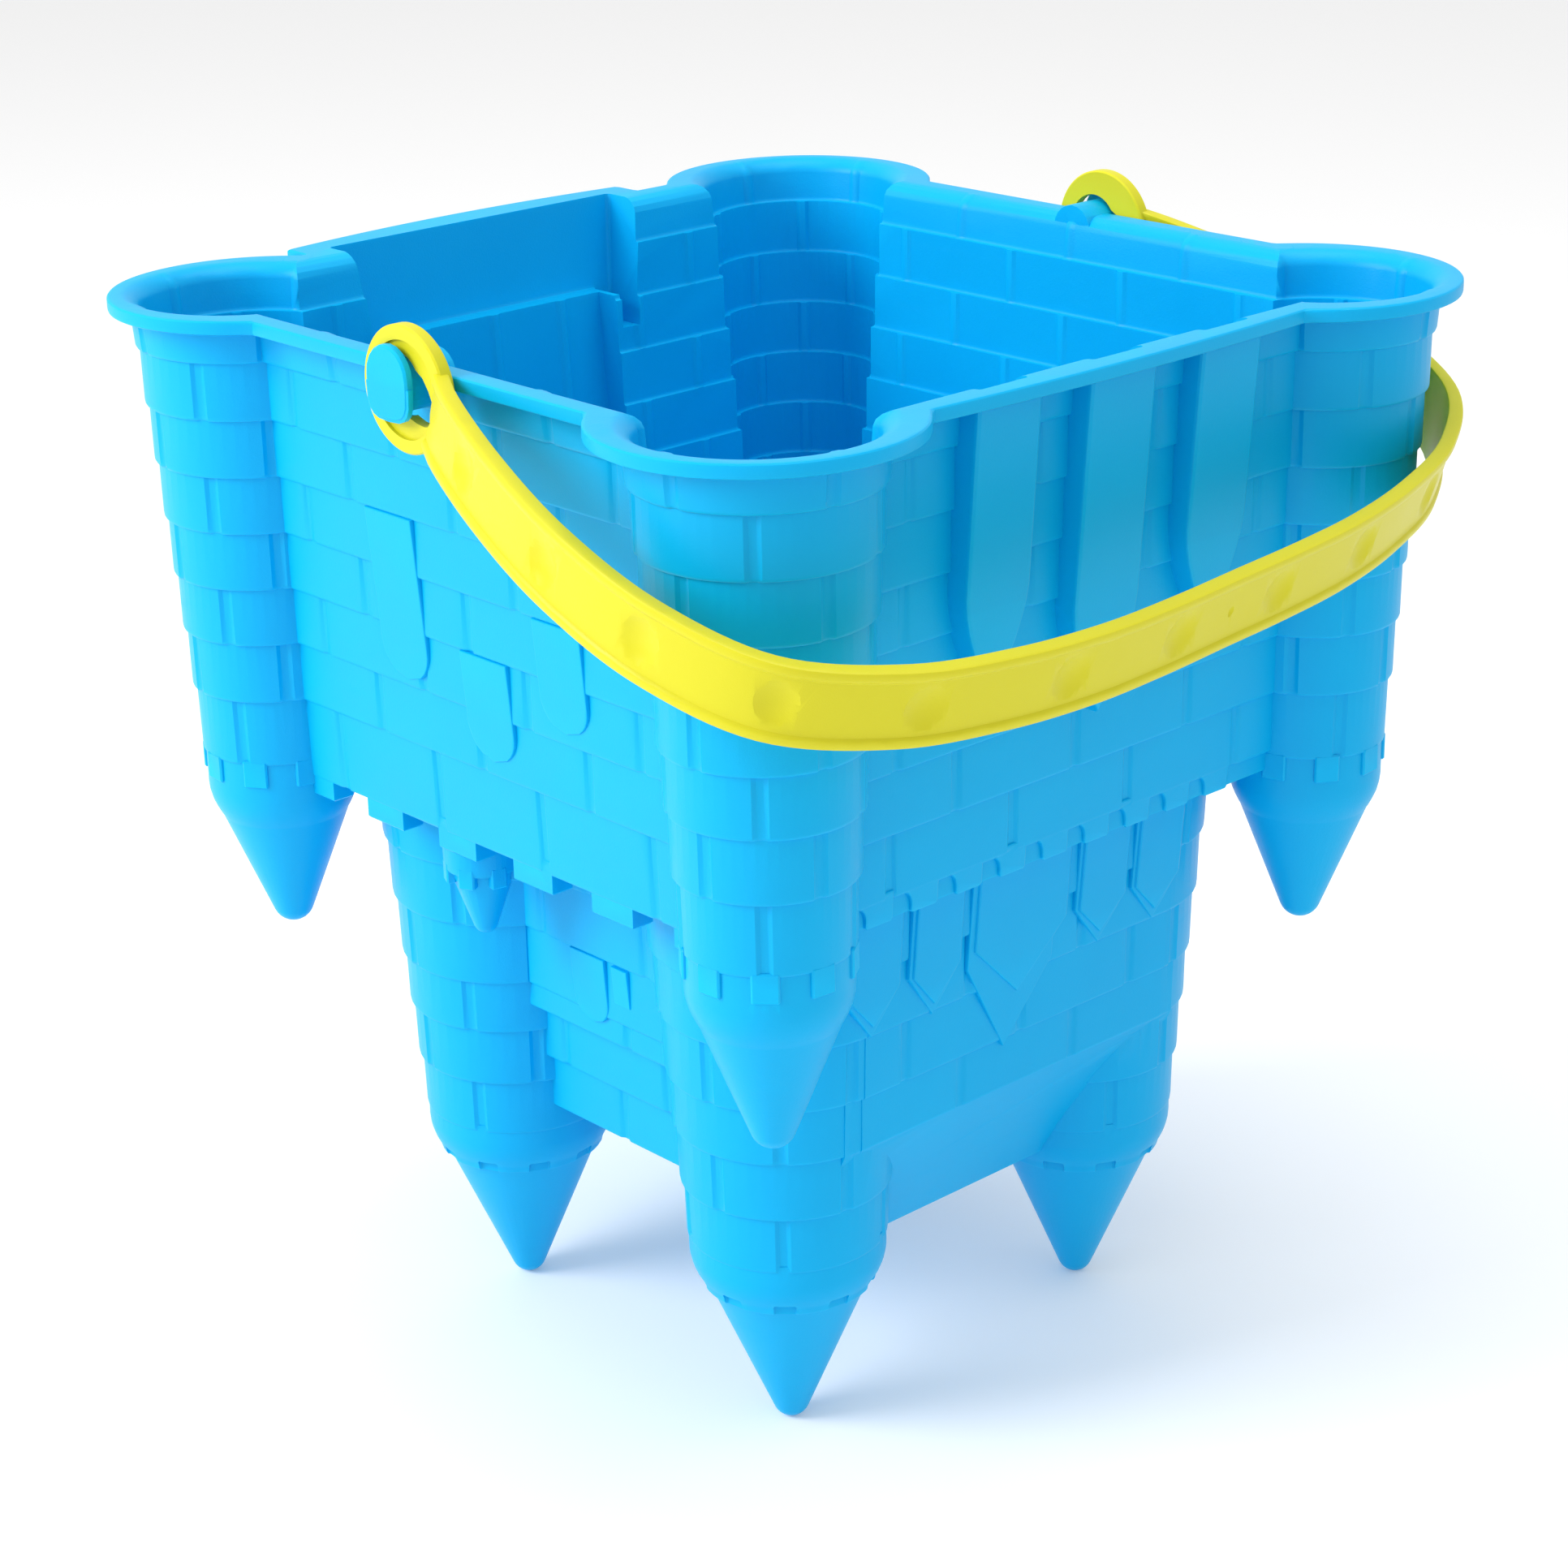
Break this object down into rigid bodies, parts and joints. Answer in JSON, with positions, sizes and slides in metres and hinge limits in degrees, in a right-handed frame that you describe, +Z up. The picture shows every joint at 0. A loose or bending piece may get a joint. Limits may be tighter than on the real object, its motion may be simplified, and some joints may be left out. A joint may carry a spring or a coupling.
{
  "type": "castle sand bucket",
  "caption": "Square castle-shaped sand bucket with round corner towers, two brick tiers and a swinging bail handle.",
  "frame": {"origin": "middle of the bounding box of bucket and lowered bail in plan, at the level of the four lower cone tips the bucket stands on", "axes": "+Z up along the bucket's axis; the bail's hinge runs along Y and the lowered bail lies on the +X side"},
  "size_m": [0.2313, 0.2235, 0.2342],
  "materials": {
    "shell": "semi-matt moulded polypropylene, sky blue",
    "bail": "satin moulded polypropylene, lemon yellow"
  },
  "bodies": {
    "bucket": {"bucket_shell": "shell"},
    "bail": {"handle": "bail"}
  },
  "joints": [
    {"name": "bail_swing", "type": "hinge", "parent": "bucket", "child": "bail", "pos_m": [-0.0104, 0, 0.2225], "axis": [0, -1, 0], "range_deg": [0, 216]}
  ]
}
